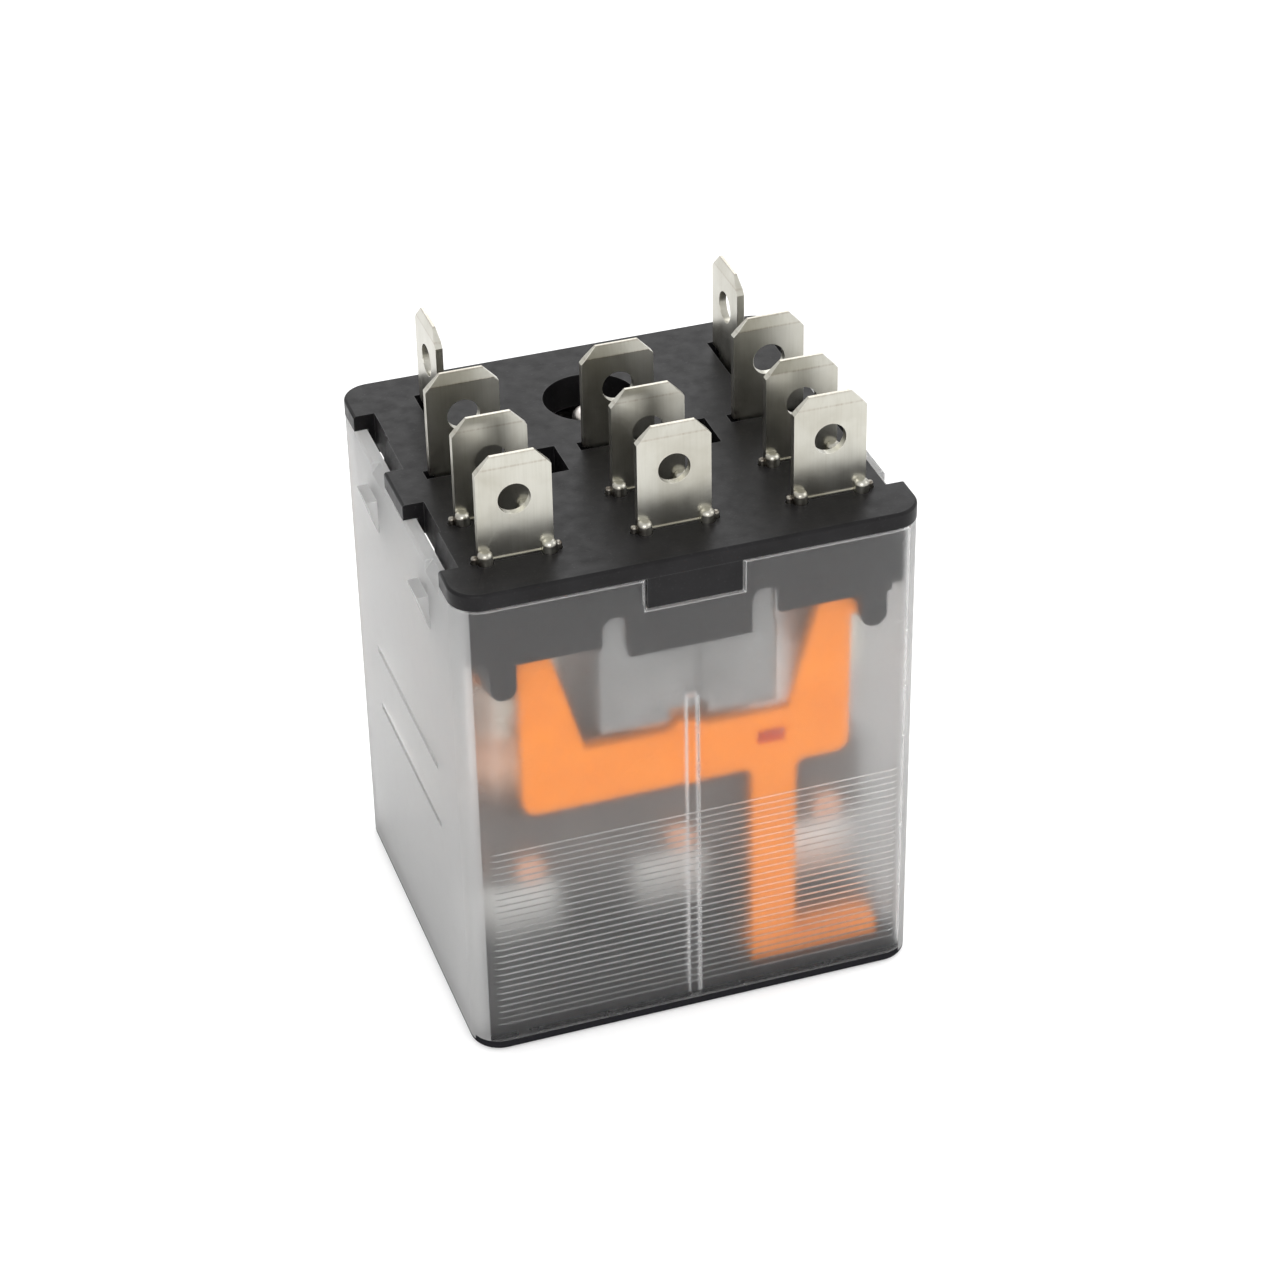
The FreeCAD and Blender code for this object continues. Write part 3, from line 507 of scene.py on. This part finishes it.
for node, obj in frame["nodes"].items():
    paint(obj, MATERIALS[SLOT_OF[node]])
for node in TABS:
    rounded_piece(node, TAB_BEVEL)
for node, bevel_width in BEVELS.items():
    rounded_piece(node, bevel_width)


# Pieces built as meshes. Their points are in metres.

def frames_along(path):
    """A normal and a side direction at each point, carried along the path without twist."""
    tangents = [(b - a).normalized() for a, b in zip(path, path[1:])]
    tangents.append(tangents[-1])
    normal = tangents[0].orthogonal().normalized()
    frames = []
    for tangent in tangents:
        normal = (normal - normal.dot(tangent) * tangent).normalized()
        frames.append((normal, tangent.cross(normal)))
    return frames


def add_tube(work, path, radius, sides):
    rings = []
    turns = [math.tau * i / sides for i in range(sides)]
    for point, (normal, side) in zip(path, frames_along(path)):
        ring = [point + radius * (math.cos(turn) * normal + math.sin(turn) * side) for turn in turns]
        rings.append([work.verts.new(corner) for corner in ring])
    for low, high in zip(rings, rings[1:]):
        for i in range(sides):
            j = (i + 1) % sides
            work.faces.new((low[i], low[j], high[j], high[i]))
    work.faces.new(rings[0][::-1])
    work.faces.new(rings[-1])


def mesh_piece(name, node, work, smooth_angle=50):
    """A piece from a bmesh, in the finish of the CAD node that it stands for."""
    bmesh.ops.recalc_face_normals(work, faces=work.faces)
    mesh = bpy.data.meshes.new(name)
    work.to_mesh(mesh)
    work.free()
    shade(mesh, smooth_angle)
    piece = new_piece(name, mesh)
    paint(piece, MATERIALS[SLOT_OF[node]])
    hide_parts(node)
    return piece


CURVE_STEPS = 24


def smooth_route(points, spacing):
    """Evenly spaced points along one smooth curve that has the given control points."""
    curve = bpy.data.curves.new("route", "CURVE")
    curve.dimensions = "3D"
    curve.resolution_u = CURVE_STEPS
    spline = curve.splines.new("NURBS")
    spline.points.add(len(points) - 1)
    for place, point in zip(spline.points, points):
        place.co = (*point, 1)
    spline.order_u = 3
    spline.use_endpoint_u = True
    guide = bpy.data.objects.new("route", curve)
    mesh = bpy.data.meshes.new_from_object(guide)
    line = [v.co.copy() for v in mesh.vertices]
    bpy.data.objects.remove(guide)
    even = [line[0]]
    left = spacing
    for a, b in zip(line, line[1:]):
        length = (b - a).length
        done = 0.0
        while length - done >= left:
            done += left
            even.append(a.lerp(b, done / length))
            left = spacing
        left -= length - done
    return even


BRAID_ROUTE = ((10.3, 25.0), (10.3, 18.5), (9.6, 12.4), (9.0, 7.9), (6.9, 6.5))   # y from the front face, z
BRAID_STRANDS = 5       # wound each way
BRAID_R = 0.33
BRAID_PITCH = 2.4
BRAID_STEPS = 20        # in each pitch
STRAND_R = 0.085
STRAND_SIDES = 6
WEAVE_DEPTH = 0.05


def braid(number):
    """A copper braid: strands wound both ways, passing over and under each other."""
    node = "braid_" + number
    low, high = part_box(node)
    x = (low.x + high.x) / 2
    route = [Vector((x, FRONT_Y + y * MM, z * MM)) for y, z in BRAID_ROUTE]
    spacing = BRAID_PITCH / BRAID_STEPS
    line = smooth_route(route, spacing * MM)
    frames = frames_along(line)
    work = bmesh.new()
    for way in (-1, 1):
        for strand in range(BRAID_STRANDS):
            path = []
            for i, (point, (normal, side)) in enumerate(zip(line, frames)):
                turn = way * math.tau * (i * spacing / BRAID_PITCH) + math.tau * strand / BRAID_STRANDS
                weave = math.cos(BRAID_STRANDS * math.tau * i * spacing / BRAID_PITCH + math.pi * strand)
                radius = (BRAID_R + way * WEAVE_DEPTH * weave) * MM
                path.append(point + radius * (math.cos(turn) * normal + math.sin(turn) * side))
            add_tube(work, path, STRAND_R * MM, STRAND_SIDES)
    piece = mesh_piece(node + "_woven", node, work)
    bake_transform(piece)


SPRING_WIRE_R = 0.15
SPRING_WIRE_SIDES = 8
SPRING_TURNS = 16
TURN_POINTS = 24


def return_spring():
    """A close coil between two half-ring hooks, stretched from the yoke's lug to the armature's."""
    low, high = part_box("return_spring")
    middle = (low + high) / 2
    wire = SPRING_WIRE_R * MM
    radius = (high.x - low.x) / 2 - wire
    bottom = low.z + wire + radius
    top = high.z - wire - radius
    path = []
    for i in range(TURN_POINTS // 2):
        turn = math.pi + math.pi * i / (TURN_POINTS // 2)
        path.append(Vector((radius * math.cos(turn), 0, bottom + radius * math.sin(turn))))
    steps = SPRING_TURNS * TURN_POINTS
    for i in range(steps + 1):
        turn = math.tau * i / TURN_POINTS
        rise = bottom + (top - bottom) * i / steps
        path.append(Vector((radius * math.cos(turn), radius * math.sin(turn), rise)))
    for i in range(1, TURN_POINTS // 2 + 1):
        turn = math.pi * i / (TURN_POINTS // 2)
        path.append(Vector((radius * math.cos(turn), 0, top + radius * math.sin(turn))))
    work = bmesh.new()
    centre = Vector((middle.x, middle.y, 0))
    add_tube(work, [point + centre for point in path], wire, SPRING_WIRE_SIDES)
    piece = mesh_piece("return_spring_coil", "return_spring", work)
    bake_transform(piece)


WIRE_PITCH = 0.3
WIRE_STEPS = 6          # round the half of each turn that shows
COIL_INNER = 0.75       # share of the outer radius
COIL_SMOOTH_ANGLE = 80
RING_SIDES = 64


def coil_winding():
    """Turns of enamelled wire side by side, closed by the bobbin's tube on the inside."""
    low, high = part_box("coil_winding")
    middle = (low + high) / 2
    wire = WIRE_PITCH / 2 * MM
    outer = (high.x - low.x) / 2
    inner = outer * COIL_INNER
    turns = int((high.z - low.z) / (2 * wire))
    profile = [(inner, low.z), (outer - wire, low.z)]
    for turn in range(turns):
        centre = low.z + (2 * turn + 1) * wire
        for step in range(1, WIRE_STEPS):
            angle = math.pi * (step / WIRE_STEPS - 0.5)
            profile.append((outer - wire + wire * math.cos(angle), centre + wire * math.sin(angle)))
        profile.append((outer - wire, centre + wire))
    profile.append((inner, profile[-1][1]))
    work = bmesh.new()
    centre = Vector((middle.x, middle.y, 0))
    rings = []
    for side in range(RING_SIDES):
        turn = math.tau * side / RING_SIDES
        across = Vector((math.cos(turn), math.sin(turn), 0))
        rings.append([work.verts.new(centre + radius * across + Vector((0, 0, z))) for radius, z in profile])
    count = len(profile)
    for side in range(RING_SIDES):
        here, there = rings[side], rings[(side + 1) % RING_SIDES]
        for i in range(count):
            j = (i + 1) % count
            work.faces.new((here[i], there[i], there[j], here[j]))
    piece = mesh_piece("coil_winding_turns", "coil_winding", work, COIL_SMOOTH_ANGLE)
    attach(piece, "root")


for number in POLES:
    braid(number)
return_spring()
coil_winding()


# Studio. Places and sizes are in metres.

FLOOR_SIZE = 4
WORLD_STRENGTH = 1.0
LIGHT_SIZE = 0.3
LIGHT_TARGET = (0, 0, 0.02)
LIGHTS = {                      # place and power in watts
    "key": ((-0.15, -0.4, 0.3), 0.9),
    "fill": ((0.4, -0.1, 0.3), 0.4),
    "back": ((0.12, 0.36, 0.33), 0.45),
}
CAMERA_PLACE = Vector((-58.64, -181.45, 147.07)) * MM
CAMERA_TARGET = Vector((0.70, -0.58, 20.70)) * MM
CAMERA_ROLL = math.radians(-1.17)
CAMERA_SENSOR = 36              # width in mm, with the lens in mm as well
CAMERA_LENS = 97.24
CAMERA_CLIP = 0.01


def area_light(name, place, power):
    light = bpy.data.lights.new(name, "AREA")
    light.shape = "SQUARE"
    light.size = LIGHT_SIZE
    light.energy = power
    lamp = new_piece(name, light)
    lamp.location = place
    lamp.rotation_euler = (Vector(LIGHT_TARGET) - Vector(place)).to_track_quat("-Z", "Y").to_euler()


def studio():
    world = bpy.data.worlds.new("studio")
    world.use_nodes = True
    scene.world = world
    background = world.node_tree.nodes["Background"]
    background.inputs["Color"].default_value = (1, 1, 1, 1)
    background.inputs["Strength"].default_value = WORLD_STRENGTH
    bpy.ops.mesh.primitive_plane_add(size=FLOOR_SIZE, location=(0, 0, 0))
    floor = bpy.context.object
    floor.name = "studio_floor"
    paint(floor, studio_floor())
    for name, (place, power) in LIGHTS.items():
        area_light(name, place, power)


def camera():
    """A long lens above and to the left of the front face, with a slight roll."""
    data = bpy.data.cameras.new("camera")
    data.sensor_width = CAMERA_SENSOR
    data.lens = CAMERA_LENS
    data.clip_start = CAMERA_CLIP
    eye = new_piece("camera", data)
    look = (CAMERA_TARGET - CAMERA_PLACE).to_track_quat("-Z", "Y").to_matrix().to_4x4()
    eye.matrix_world = Matrix.Translation(CAMERA_PLACE) @ look @ Matrix.Rotation(CAMERA_ROLL, 4, "Z")
    scene.camera = eye


studio()
camera()
